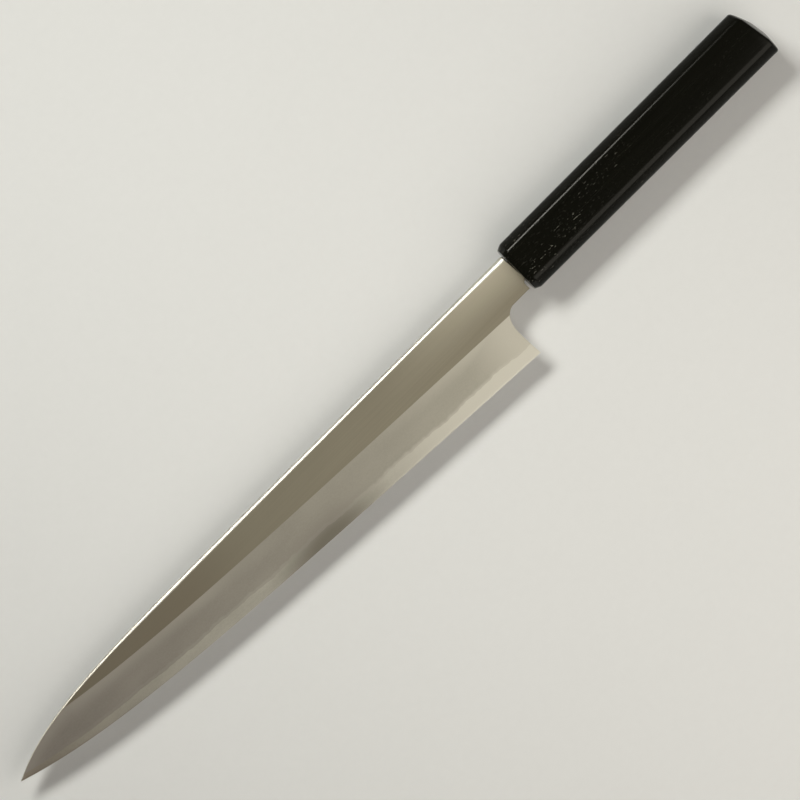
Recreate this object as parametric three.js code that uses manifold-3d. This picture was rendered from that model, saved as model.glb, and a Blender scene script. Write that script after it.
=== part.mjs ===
// A double-bevelled slicing knife (sujihiki): a three-layer laminated blade with wide ground bevels, whose
// hidden tang is bedded in a one-piece, black lacquered octagonal handle.
//
// Units are millimetres. The knife lies on its right side: +X runs from the tip to the butt, +Y from the edge
// to the spine, and +Z comes up through the left face of the blade. The pieces are drawn with x = 0 at the
// front of the handle, y = 0 on its axis and z = 0 in the middle plane of the blade.

import * as THREE from "three";
import { mergeVertices } from "three/addons/utils/BufferGeometryUtils.js";
import Module from "manifold-3d";

const wasm = await Module();
wasm.setup();

const { degToRad, lerp, mapLinear } = THREE.MathUtils;

// Blade outline, seen from the side.
const bladeLength = 268.4; // heel corner to tip, along the spine
const heelHeight = 38.5; // spine line to heel corner
const tipDrop = 12.8; // spine line to tip
const spineCurl = 24.8; // distance from the tip over which the spine's fall fades
const edgeRise = 14; // rise of the straight run of the edge, heel to tip
const edgeBelly = 44; // distance from the tip over which the belly's extra rise fades
const neckLength = 16.3; // heel corner to the front of the handle
const neckHeight = 17.2; // spine line to the underside of the neck
const choilRun = 6.4; // rounded choil corner, along the neck
const choilRise = 8.8; // rounded choil corner, down the heel
const heelHollow = 0.6; // hollow in the back of the heel
const spineAboveAxis = 8.1; // spine line above the handle's axis

// Blade section: distal taper, flats, wide bevels and edge.
const neckThickness = 4;
const tipThickness = 1; // what the taper alone would leave at the tip
const spineCrown = 1.4; // height of the rounded back of the spine at the neck
const flatLean = degToRad(0.4); // inward lean of each flat, spine to bevel line
const bevelHeelWidth = 19.4; // edge to bevel line at the heel
const bevelTipWidth = 16.2; // the same at the tip, where the bevel has run off the spine
const edgeBevel = 0.6; // height of the final cutting bevel
const edgeShoulder = 0.2; // thickness behind the final cutting bevel

// Lamination: a hard core between two softer layers of cladding.
const coreThickness = 1.1; // at the neck; it thins with the blade
const weldClearance = 0.03; // between core and cladding
const weldRipple = 0.05; // how far the forged weld wanders at the heel
const longRipple = 47; // wave lengths of that wandering, along the blade
const shortRipple = 19;

// Tang and the rear face of the neck.
const tangLength = 95; // behind the front of the handle
const tangRootHeight = 9.5;
const tangEndHeight = 6;
const tangEndThickness = 2.4;
const neckTopRound = 1.2; // upper corner of the neck's rear face
const machiGap = 1.4; // notch between the lower corner of the neck and the handle, along the knife
const machiStep = 3.7; // height of that notch
const machiRound = 1.2; // rounding at the top of the notch

// Handle.
const handleLength = 137; // front face to the crown of the butt
const handleFrontHeight = 23.6;
const handleButtHeight = 24.4;
const handleFrontThickness = 18.4;
const handleButtThickness = 20;
const facetChamfer = 3.9; // legs of the four corner facets
const arrisEase = 0.7; // rounding where two facets meet
const frontBevelLength = 2.4;
const frontBevelDepth = 1.2;
const buttRadius = 34; // domed butt
const buttCrownDrop = 5; // crown of that dome, below the axis

// Fit of the tang in the handle.
const beddingWall = 1; // resin round the tang
const beddingPlug = 6; // socket behind the end of the tang
const fitGap = 0.3; // clearance between pieces that seat in one another

// Counts.
const bladeStations = 44;
const crownSteps = 4;
const rippleSteps = 72;
const curveSegments = 10;
const easeSteps = 2;
const domeSides = 48;
const domeRings = 7;

// Places that follow from the sizes above.
const heelX = -neckLength;
const tipX = heelX - bladeLength;
const neckY = spineAboveAxis - neckHeight;
const socketEnd = tangLength + beddingPlug;
const clearOfBlade = 2 * heelHeight; // well outside the blade, for what cuts it

// Shape helpers.

/**
 * A closed solid through rings of points at rising x, each ring turning from +Y towards +Z. An apex, where
 * one is given, closes the start to a point.
 */
function loft(rings, apex = null) {
  const sides = rings[0].length;
  const positions = rings.flat().flatMap((p) => [p.x, p.y, p.z]);
  const faces = [];
  for (let i = 0; i + 1 < rings.length; i++) {
    for (let j = 0; j < sides; j++) {
      const a = i * sides + j;
      const b = i * sides + ((j + 1) % sides);
      faces.push(a, b, b + sides, a, b + sides, a + sides);
    }
  }
  const last = (rings.length - 1) * sides;
  for (let j = 1; j + 1 < sides; j++) {
    faces.push(last, last + j, last + j + 1);
    if (!apex) faces.push(0, j + 1, j);
  }
  if (apex) {
    const point = positions.length / 3;
    positions.push(apex.x, apex.y, apex.z);
    for (let j = 0; j < sides; j++) faces.push(point, (j + 1) % sides, j);
  }
  const geometry = new THREE.BufferGeometry();
  geometry.setAttribute("position", new THREE.Float32BufferAttribute(positions, 3));
  geometry.setIndex(faces);
  return geometry;
}

/** A cross-section of [y, z] pairs, placed at x. */
function ringAt(x, section) {
  return section.map(([y, z]) => new THREE.Vector3(x, y, z));
}

/** A four-sided ring at x, between two heights and two levels. */
function boxRing(x, yLow, yHigh, zLow, zHigh) {
  return ringAt(x, [[yHigh, zLow], [yHigh, zHigh], [yLow, zHigh], [yLow, zLow]]);
}

/** A side-view shape cut right through the thickness of the blade. */
function throughCut(shape) {
  const depth = 4 * neckThickness;
  const geometry = new THREE.ExtrudeGeometry(shape, { depth, bevelEnabled: false, curveSegments });
  return solidOf(geometry.translate(0, 0, -depth / 2));
}

/** A closed geometry as a solid that can be cut and joined. */
function solidOf(geometry) {
  const bare = geometry.clone();
  bare.deleteAttribute("normal");
  bare.deleteAttribute("uv");
  const merged = mergeVertices(bare, 1e-4);
  const vertProperties = merged.attributes.position.array;
  const triVerts = new Uint32Array(merged.index.array);
  return new wasm.Manifold(new wasm.Mesh({ numProp: 3, vertProperties, triVerts }));
}

/** The surface of a solid as a geometry. */
function geometryOf(solid) {
  const { vertProperties, triVerts } = solid.getMesh();
  const geometry = new THREE.BufferGeometry();
  geometry.setAttribute("position", new THREE.BufferAttribute(vertProperties, 3));
  geometry.setIndex(new THREE.BufferAttribute(triVerts, 1));
  geometry.computeVertexNormals();
  return geometry;
}

// Blade: laws for its outline and thickness along x.

function spineY(x) {
  return spineAboveAxis - tipDrop * Math.exp(-(x - tipX) / spineCurl);
}

function edgeY(x) {
  const heelY = spineAboveAxis - heelHeight;
  const straight = (edgeRise * (heelX - x)) / bladeLength;
  const belly = heelHeight - tipDrop - edgeRise;
  return heelY + straight + belly * Math.exp(-(x - tipX) / edgeBelly);
}

/** Thickness at the spine line: a distal taper from neck to tip, and a taper of its own along the tang. */
function thicknessAt(x) {
  if (x > 0) return mapLinear(x, 0, tangLength, neckThickness, tangEndThickness);
  return mapLinear(x, tipX, 0, tipThickness, neckThickness);
}

/** A cross-section of the ground blade, from the spine down the left face to the edge and up the right. */
function bladeSection(x) {
  const top = spineY(x);
  const bottom = edgeY(x);
  const height = top - bottom;

  // Each face is the lower of two planes: the flat, and the bevel that rises from behind the cutting edge.
  const bevelWidth = mapLinear(x, tipX, heelX, bevelTipWidth, bevelHeelWidth);
  const bevelLine = bottom + bevelWidth;
  const cuttingBevel = Math.min(edgeBevel, height / 4);
  const shoulder = edgeShoulder / 2;
  const flatZ = (y) => thicknessAt(x) / 2 - Math.tan(flatLean) * (spineAboveAxis - y);
  const bevelSlope = (flatZ(bevelLine) - shoulder) / (bevelWidth - edgeBevel);
  const faceZ = (y) => Math.min(flatZ(y), shoulder + bevelSlope * (y - bottom - cuttingBevel));

  // The spine is crowned: a half ellipse across the whole thickness.
  const crown = Math.min((spineCrown * thicknessAt(x)) / neckThickness, height / 4);
  const crownFoot = top - crown;
  const ridge = Math.min(bevelLine, crownFoot - crown / 8);
  const left = [];
  for (let k = 1; k < crownSteps; k++) {
    const angle = ((k / crownSteps) * Math.PI) / 2;
    left.push([crownFoot + crown * Math.cos(angle), faceZ(crownFoot) * Math.sin(angle)]);
  }
  left.push([crownFoot, faceZ(crownFoot)], [ridge, faceZ(ridge)], [bottom + cuttingBevel, shoulder]);
  const right = left.map(([y, z]) => [y, -z]).reverse();
  return [[top, 0], ...left, [bottom, 0], ...right];
}

/** The forged and ground bar, before its rear end is cut to shape. */
function groundBar() {
  const rings = [];
  for (let k = 1; k <= bladeStations; k++) {
    const x = tipX * (1 - (k / bladeStations) ** 1.6); // closer together towards the tip
    rings.push(ringAt(x, bladeSection(x)));
  }
  rings.push(ringAt(tangLength, bladeSection(tangLength)));
  return solidOf(loft(rings, new THREE.Vector3(tipX, spineY(tipX), 0)));
}

/** What is cut away below: behind the heel, under the neck, in the machi notch and under the tang. */
function undersideCut() {
  const heelBack = heelX - heelHollow;
  const choilFoot = neckY - choilRise;
  const rearFaceFoot = neckY + machiStep;
  const beyond = tangLength + clearOfBlade;
  const shape = new THREE.Shape();
  shape.moveTo(heelX, -clearOfBlade);
  shape.lineTo(heelX, edgeY(heelX));
  shape.quadraticCurveTo(heelBack, (edgeY(heelX) + choilFoot) / 2, heelBack, choilFoot);
  shape.absellipse(heelBack + choilRun, choilFoot, choilRun, choilRise, Math.PI, Math.PI / 2, true);
  shape.lineTo(-machiGap, neckY);
  shape.lineTo(-machiGap, rearFaceFoot - machiRound);
  shape.quadraticCurveTo(-machiGap, rearFaceFoot, -fitGap, rearFaceFoot);
  shape.lineTo(-fitGap, -tangRootHeight / 2);
  shape.lineTo(tangLength, -tangEndHeight / 2);
  shape.lineTo(beyond, -tangEndHeight / 2);
  shape.lineTo(beyond, -clearOfBlade);
  return throughCut(shape);
}

/** What is cut away above the tang, with the rounded upper corner of the neck's rear face. */
function tangTopCut() {
  const beyond = tangLength + clearOfBlade;
  const shape = new THREE.Shape();
  shape.moveTo(-fitGap - neckTopRound, clearOfBlade);
  shape.lineTo(beyond, clearOfBlade);
  shape.lineTo(beyond, tangEndHeight / 2);
  shape.lineTo(tangLength, tangEndHeight / 2);
  shape.lineTo(-fitGap, tangRootHeight / 2);
  shape.lineTo(-fitGap, spineAboveAxis - neckTopRound);
  shape.quadraticCurveTo(-fitGap, spineAboveAxis, -fitGap - neckTopRound, spineAboveAxis);
  return throughCut(shape);
}

/** Level of the weld between core and cladding; it wanders a little, as forging leaves it. */
function weldZ(x) {
  const along = x - tipX;
  const wave = (length) => Math.sin((2 * Math.PI * along) / length);
  const ripple = weldRipple * Math.min(1, along / bladeLength);
  const level = (coreThickness * thicknessAt(x)) / neckThickness / 2;
  return level + ripple * (0.6 * wave(longRipple) + 0.4 * wave(shortRipple));
}

/** One layer of the laminated bar, between two levels that are laws of x. */
function layer(lowZ, highZ) {
  const stations = Array.from({ length: rippleSteps + 1 }, (_, k) => lerp(tipX, 0, k / rippleSteps));
  stations.push(socketEnd);
  return solidOf(loft(stations.map((x) => boxRing(x, -clearOfBlade, clearOfBlade, lowZ(x), highZ(x)))));
}

// Handle, and what beds the tang in it.

/** An octagonal cross-section of the handle with eased arrises, drawn in by inset on every side. */
function octagonSection(x, inset = 0) {
  const h = mapLinear(x, 0, handleLength, handleFrontHeight, handleButtHeight) / 2 - inset;
  const t = mapLinear(x, 0, handleLength, handleFrontThickness, handleButtThickness) / 2 - inset;
  const c = facetChamfer - (2 - Math.SQRT2) * inset;
  const left = [[h, t - c], [h - c, t], [c - h, t], [-h, t - c]];
  const right = left.map(([y, z]) => [y, -z]).reverse();
  const corners = [...left, ...right].map(([y, z]) => new THREE.Vector2(y, z));
  return corners.flatMap((corner, i) => {
    const towards = (other) => other.clone().sub(corner).setLength(arrisEase).add(corner);
    const before = towards(corners.at(i - 1));
    const after = towards(corners[(i + 1) % corners.length]);
    const ease = new THREE.QuadraticBezierCurve(before, corner, after);
    return ease.getPoints(easeSteps).map((p) => [p.x, p.y]);
  });
}

/** A round bar with a domed end, which gives the butt its crown. */
function domedBar() {
  const reach = Math.hypot(handleButtHeight, handleButtThickness) / 2 + buttCrownDrop;
  const open = Math.asin(reach / buttRadius);
  const profile = [new THREE.Vector2(0, -handleLength), new THREE.Vector2(reach, -handleLength)];
  for (let k = domeRings; k >= 0; k--) {
    const angle = (open * k) / domeRings;
    const along = handleLength - buttRadius * (1 - Math.cos(angle));
    profile.push(new THREE.Vector2(buttRadius * Math.sin(angle), along));
  }
  const bar = new THREE.LatheGeometry(profile, domeSides).rotateZ(-Math.PI / 2);
  return solidOf(bar.translate(0, -buttCrownDrop, 0));
}

/** A tapered block like the tang, grown on each side, from x = start to x = end. */
function tangBlock(start, end, growth) {
  const rings = [start, end].map((x) => {
    const y = mapLinear(x, 0, tangLength, tangRootHeight, tangEndHeight) / 2 + growth;
    const z = mapLinear(x, 0, tangLength, neckThickness, tangEndThickness) / 2 + growth;
    return boxRing(x, -y, y, -z, z);
  });
  return solidOf(loft(rings));
}

function handleBody() {
  const beyond = handleLength + buttRadius;
  const bar = loft([
    ringAt(0, octagonSection(0, frontBevelDepth)),
    ringAt(frontBevelLength, octagonSection(frontBevelLength)),
    ringAt(beyond, octagonSection(beyond)),
  ]);
  const socket = tangBlock(-frontBevelLength, socketEnd, beddingWall + 2 * fitGap);
  return solidOf(bar).intersect(domedBar()).subtract(socket);
}

/** Cured resin round the tang, flush with the front of the handle and closed behind the tang's end. */
function tangBedding() {
  const filled = tangBlock(0, socketEnd - fitGap, beddingWall + fitGap);
  return filled.subtract(tangBlock(-fitGap, tangLength + fitGap, fitGap));
}

// Assembly.

const finish = (color, roughness, metalness) =>
  new THREE.MeshStandardMaterial({ color, roughness, metalness, flatShading: true });
const polishedCore = finish("#b9b2a1", 0.28, 1);
const hazyCladding = finish("#8f8877", 0.42, 1);
const blackLacquer = finish("#100f0c", 0.35, 0);
const darkResin = finish("#1c1915", 0.5, 0);

const assembly = new THREE.Group();

function addPiece(name, solid, material) {
  const piece = new THREE.Mesh(geometryOf(solid), material);
  piece.name = name;
  assembly.add(piece);
}

const blade = groundBar().subtract(undersideCut()).subtract(tangTopCut());
const coreLayer = layer((x) => -weldZ(x), weldZ);
const leftLayer = layer((x) => weldZ(x) + weldClearance, () => neckThickness);
const rightLayer = layer(() => -neckThickness, (x) => -weldZ(x) - weldClearance);

addPiece("core_steel", blade.intersect(coreLayer), polishedCore);
addPiece("cladding_left", blade.intersect(leftLayer), hazyCladding);
addPiece("cladding_right", blade.intersect(rightLayer), hazyCladding);
addPiece("handle_body", handleBody(), blackLacquer);
addPiece("tang_bedding", tangBedding(), darkResin);

// The part's origin is the middle of the bottom of its box, level with the underside of the handle.
const knife = new THREE.Group();
const box = new THREE.Box3().setFromObject(assembly);
const middle = box.getCenter(new THREE.Vector3());
assembly.position.set(-middle.x, -middle.y, -box.min.z);
knife.add(assembly);

export default knife;
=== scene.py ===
"""A sujihiki, the long Japanese slicing knife, dressed for its picture.

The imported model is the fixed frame, in metres. Shapes are drawn in millimetres on the knife's own
drawing, with X along the handle from its front face to the butt, Y from the edge to the spine and
Z out of the left face, and the drawing is then placed in the frame.
"""

import sys
import logging
import math
from collections.abc import Callable
from dataclasses import dataclass
from enum import Enum
from typing import Any

import bmesh
import bpy
from mathutils import Euler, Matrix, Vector


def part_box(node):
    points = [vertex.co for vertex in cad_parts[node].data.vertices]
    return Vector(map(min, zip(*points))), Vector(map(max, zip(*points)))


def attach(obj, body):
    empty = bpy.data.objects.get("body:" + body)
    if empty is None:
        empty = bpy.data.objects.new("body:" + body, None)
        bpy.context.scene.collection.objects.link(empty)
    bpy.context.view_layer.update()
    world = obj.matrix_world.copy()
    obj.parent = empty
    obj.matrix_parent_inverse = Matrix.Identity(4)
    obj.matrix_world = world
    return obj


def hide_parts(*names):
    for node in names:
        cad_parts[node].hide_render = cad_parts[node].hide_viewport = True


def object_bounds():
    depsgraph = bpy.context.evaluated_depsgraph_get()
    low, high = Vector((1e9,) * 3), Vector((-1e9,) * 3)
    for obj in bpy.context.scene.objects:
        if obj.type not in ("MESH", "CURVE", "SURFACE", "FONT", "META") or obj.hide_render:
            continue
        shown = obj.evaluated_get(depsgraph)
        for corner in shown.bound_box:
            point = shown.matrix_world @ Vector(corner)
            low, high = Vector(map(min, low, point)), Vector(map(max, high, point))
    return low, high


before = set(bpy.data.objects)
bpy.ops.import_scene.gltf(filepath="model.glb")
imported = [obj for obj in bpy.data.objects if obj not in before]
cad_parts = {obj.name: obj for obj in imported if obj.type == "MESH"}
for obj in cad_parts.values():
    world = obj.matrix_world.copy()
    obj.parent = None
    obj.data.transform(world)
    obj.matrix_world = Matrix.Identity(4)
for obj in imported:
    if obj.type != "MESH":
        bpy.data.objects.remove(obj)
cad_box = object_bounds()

Piece = bpy.types.Object
NodeTree = bpy.types.NodeTree
Socket = bpy.types.NodeSocket

MM = 0.001
BODY = "root"
SHARP_ANGLE = math.radians(30)
RIGHT_ANGLE = math.pi / 2
WELD_ATTRIBUTE = "above_weld_mm"
RIDGE_ATTRIBUTE = "below_ridge_mm"
SMOOTH = {"interpolation_type": "SMOOTHSTEP"}
FALLING = (1.0, 0.0)
WHITE = "#ffffff"
WARM_WHITE = "#fff8ea"

log = logging.getLogger("sujihiki")


class Side(Enum):
    """The two faces of the blade; the value is the sign of Z there."""

    LEFT = 1
    RIGHT = -1


class Zone(Enum):
    """Where a face of a blade layer lies; the value is its material slot."""

    FLAT = 0
    BEVEL = 1
    SPINE = 2


def linear(colour: str) -> tuple[float, float, float, float]:
    """Turns an sRGB hex colour into linear red, green, blue and alpha.

    Args:
        colour: six hex digits with a leading hash sign.

    Returns:
        The linear colour, with alpha 1.
    """
    shares = [int(colour[k : k + 2], 16) / 255 for k in (1, 3, 5)]
    red, green, blue = (s / 12.92 if s <= 0.04045 else ((s + 0.055) / 1.055) ** 2.4 for s in shares)
    return red, green, blue, 1.0


def cell_scale(length: float, width: float) -> tuple[float, float, float]:
    """Gives a pattern's scale along X, Y and Z from the size of its cells."""
    return 1 / length, 1 / width, 1 / width


def span(end: str, values: tuple[float, float]) -> dict[str, float]:
    """Gives the two sockets at one end of a range node, such as From, with their values."""
    return {f"{end} Min": values[0], f"{end} Max": values[1]}


def between(start: float, end: float, share: float) -> float:
    """Gives the number that lies a share of the way from start to end."""
    return start + (end - start) * share


def guarded(start: float, end: float, steps: int, guard: float) -> list[float]:
    """Divides a stretch evenly, with one more division close to each end.

    The close divisions keep plain smooth shading crisp at the line where the stretch ends.

    Args:
        start: the first value.
        end: the last value.
        steps: how many even steps lie between the two close divisions.
        guard: how far the close divisions lie from the ends, at most a quarter of the stretch.

    Returns:
        The values from start to end.
    """
    near = min(guard / abs(end - start), 0.25)
    shares = [between(near, 1 - near, k / steps) for k in range(steps + 1)]
    return [between(start, end, share) for share in [0, *shares, 1]]


def curve(start: Vector, corner: Vector, end: Vector, steps: int) -> list[Vector]:
    """Gives the points of a quadratic curve that leaves start and reaches end towards corner."""
    shares = [k / steps for k in range(steps + 1)]
    return [start.lerp(corner, t).lerp(corner.lerp(end, t), t) for t in shares]


def eased(before: Vector, corner: Vector, after: Vector, ease: float, steps: int) -> list[Vector]:
    """Rounds one corner of an outline.

    Args:
        before: the outline's point ahead of the corner.
        corner: the corner.
        after: the outline's point past the corner.
        ease: how far from the corner the rounding begins.
        steps: how many steps the rounding has.

    Returns:
        The points of the rounding, in the outline's order.
    """
    start = corner + (before - corner).normalized() * ease
    end = corner + (after - corner).normalized() * ease
    return curve(start, corner, end, steps)


def add_piece(name: str, points: list[Vector], faces: list[tuple[int, ...]]) -> Piece:
    """Adds a mesh to the scene, with its faces turned outwards.

    Args:
        name: the piece's name.
        points: the corners, in metres.
        faces: the corners of each face, by number.

    Returns:
        The new object.
    """
    mesh = bpy.data.meshes.new(name)
    mesh.from_pydata(points, [], faces)
    work = bmesh.new()
    work.from_mesh(mesh)
    bmesh.ops.recalc_face_normals(work, faces=work.faces)
    work.to_mesh(mesh)
    work.free()
    piece = bpy.data.objects.new(name, mesh)
    bpy.context.scene.collection.objects.link(piece)
    return piece


def skin(
    name: str, rings: list[list[Vector]], first: Vector | None = None, last: Vector | None = None
) -> Piece:
    """Makes a closed skin over rings of points.

    Args:
        name: the piece's name.
        rings: closed rings with as many points each, one after another along the piece.
        first: the point that closes the first ring, or None for a flat cap.
        last: the point that closes the last ring, or None for a flat cap.

    Returns:
        The new object.
    """
    size = len(rings[0])
    points = [point for ring in rings for point in ring]
    steps = [(k, (k + 1) % size) for k in range(size)]
    faces: list[tuple[int, ...]] = []
    for base in range(0, (len(rings) - 1) * size, size):
        faces += [(base + k, base + n, base + size + n, base + size + k) for k, n in steps]
    for base, tip in ((0, first), (len(points) - size, last)):
        if tip is None:
            faces.append(tuple(range(base, base + size)))
        else:
            points = [*points, tip]
            faces += [(base + k, base + n, len(points) - 1) for k, n in steps]
    return add_piece(name, points, faces)


def cut(piece: Piece, *cutters: Piece) -> None:
    """Cuts a piece by other solids and keeps the cut mesh as its own.

    Args:
        piece: the piece to cut.
        cutters: the solids to take away from it.
    """
    for cutter in cutters:
        modifier = piece.modifiers.new(cutter.name, "BOOLEAN")
        modifier.operation = "DIFFERENCE"
        modifier.solver = "EXACT"
        modifier.object = cutter
    depsgraph = bpy.context.evaluated_depsgraph_get()
    whole = piece.data
    piece.data = bpy.data.meshes.new_from_object(piece.evaluated_get(depsgraph))
    piece.modifiers.clear()
    bpy.data.meshes.remove(whole)
    piece.data.name = piece.name


def discard(*cutters: Piece) -> None:
    """Removes cutting solids that have done their work."""
    for cutter in cutters:
        bpy.data.meshes.remove(cutter.data)


def settle(piece: Piece, slot: str, *nodes: str) -> None:
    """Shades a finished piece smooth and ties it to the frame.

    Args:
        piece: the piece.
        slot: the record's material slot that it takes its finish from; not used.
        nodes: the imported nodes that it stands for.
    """
    piece.data.shade_smooth()
    piece.data.set_sharp_from_angle(angle=SHARP_ANGLE)
    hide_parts(*nodes)
    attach(piece, BODY)
    log.info("%s: %d faces, stands for %s", piece.name, len(piece.data.polygons), ", ".join(nodes))


def add_node(
    tree: NodeTree,
    kind: str,
    inputs: dict[str | int, Any] | None = None,
    output: str | int = 0,
    **settings: Any,
) -> Socket | None:
    """Adds one shader node with its settings and links.

    Args:
        tree: the node tree to add to.
        kind: Blender's name for the node, without the ShaderNode that it begins with.
        inputs: what goes into each socket: another node's output, a hex colour or a constant.
        output: which of the node's outputs is wanted.
        settings: the node's own properties.

    Returns:
        The wanted output, or None from a node that has none.
    """
    node = tree.nodes.new("ShaderNode" + kind)
    for name, value in settings.items():
        setattr(node, name, value)
    for name, value in (inputs or {}).items():
        if isinstance(value, Socket):
            tree.links.new(value, node.inputs[name])
        else:
            node.inputs[name].default_value = linear(value) if isinstance(value, str) else value
    return node.outputs[output] if node.outputs else None


def stretched_noise(tree: NodeTree, place: Socket, length: float, width: float, **inputs: float) -> Socket:
    """Adds a noise whose cells have a length along the drawing and a width across it.

    Args:
        tree: the node tree to add to.
        place: the output that gives the place on the drawing.
        length: a cell's size along X, in millimetres.
        width: a cell's size along Y and Z, in millimetres.
        inputs: what goes into the noise's other sockets, such as Detail.

    Returns:
        The output that gives the noise.
    """
    along = add_node(tree, "Mapping", {"Vector": place, "Scale": cell_scale(length, width)})
    return add_node(tree, "TexNoise", {"Vector": along, "Scale": 1.0, **inputs})


@dataclass(frozen=True)
class KnifeDrawing:
    """The knife's own drawing, in millimetres, and where it lies in the frame."""

    origin: Vector
    tip_x: float
    spine_level: float
    handle_length: float

    @classmethod
    def from_frame(cls) -> "KnifeDrawing":
        """Reads the drawing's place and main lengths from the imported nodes.

        Returns:
            A drawing whose origin is the middle of the tang's bedding at the handle's front face.
        """
        low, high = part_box("tang_bedding")
        origin = Vector((low.x, (low.y + high.y) / 2, (low.z + high.z) / 2))
        core_low, core_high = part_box("core_steel")
        handle_low, handle_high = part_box("handle_body")
        tip_x = (core_low.x - origin.x) / MM
        spine_level = (core_high.y - origin.y) / MM
        return cls(origin, tip_x, spine_level, (handle_high.x - handle_low.x) / MM)

    def place(self, x: float, y: float, z: float) -> Vector:
        """Gives the frame's point, in metres, of a point of the drawing."""
        return self.origin + Vector((x, y, z)) * MM

    def read(self, point: Vector) -> Vector:
        """Gives the drawing's point, in millimetres, of a point of the frame."""
        return (point - self.origin) / MM

    def prism(self, name: str, outline: list[Vector], half_width: float) -> Piece:
        """Makes a cutting prism from an outline seen on the blade's left face.

        Args:
            name: the cutter's name.
            outline: the outline's X and Y.
            half_width: how far the prism reaches to each side.

        Returns:
            The cutter.
        """
        rings = [[self.place(p.x, p.y, z) for p in outline] for z in (-half_width, half_width)]
        return skin(name, rings)


@dataclass(frozen=True)
class Finish:
    """A surface finish, whose patterns lie on the knife's drawing, in millimetres."""

    name: str

    def paint(self, tree: NodeTree, place: Socket) -> dict[str, Any]:
        """Adds the patterns of the finish.

        Args:
            tree: the material's node tree.
            place: the output that gives the place on the drawing.

        Returns:
            What goes into each named socket of the surface's shader.
        """
        raise NotImplementedError

    def material(self, drawing: KnifeDrawing) -> bpy.types.Material:
        """Builds the material.

        Args:
            drawing: the drawing that the patterns lie on.

        Returns:
            The material.
        """
        made = bpy.data.materials.new(self.name)
        made.use_nodes = True
        tree = made.node_tree
        tree.nodes.clear()
        whole = add_node(tree, "TexCoord", output="Object")
        to_drawing = {"Location": drawing.origin / -MM, "Scale": Vector((1, 1, 1)) / MM}
        place = add_node(tree, "Mapping", {"Vector": whole, **to_drawing})
        shader = add_node(tree, "BsdfPrincipled", self.paint(tree, place))
        add_node(tree, "OutputMaterial", {"Surface": shader})
        return made


@dataclass(frozen=True)
class NeckDarkBand:
    """A dark band on the neck's rear end, which the polish meets in a slanted line.

    The line is given by its place on the handle's axis and its lean.
    """

    colour: str = "#2b2926"
    axis_x: float = -0.25
    lean: float = -0.08
    blur: float = 0.2

    def cover(self, tree: NodeTree, place: Socket, clean: Socket) -> Socket:
        """Lays the dark band over a clean colour.

        Args:
            tree: the node tree of the steel.
            place: the output that gives the place on the drawing.
            clean: the output that gives the clean steel's colour.

        Returns:
            The output that gives the colour with the dark band on it.
        """
        across = (1, -self.lean, 0)
        back = add_node(tree, "VectorMath", {0: place, 1: across}, "Value", operation="DOT_PRODUCT")
        line = span("From", (self.axis_x - self.blur, self.axis_x + self.blur))
        scaled = add_node(tree, "MapRange", {"Value": back, **line}, **SMOOTH)
        return add_node(tree, "MixRGB", {"Fac": scaled, "Color1": clean, "Color2": self.colour})


@dataclass(frozen=True)
class StonePatch:
    """A dull patch that the finishing stone left, with soft borders all round."""

    x: float
    y: float
    half_length: float
    half_width: float
    full_share: float = 0.1

    def amount(self, tree: NodeTree, place: Socket) -> Socket:
        """Gives the output that says how dull a place is, from 0 to 1.

        Args:
            tree: the node tree of the steel.
            place: the output that gives the place on the drawing.

        Returns:
            The output.
        """
        centre = (-self.x / self.half_length, -self.y / self.half_width, 0)
        scale = cell_scale(self.half_length, self.half_width)
        centred = add_node(tree, "Mapping", {"Vector": place, "Location": centre, "Scale": scale})
        away = add_node(tree, "VectorMath", {0: centred}, "Value", operation="LENGTH")
        fall = {**span("From", (self.full_share, 1.0)), **span("To", FALLING)}
        return add_node(tree, "MapRange", {"Value": away, **fall}, **SMOOTH)


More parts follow.
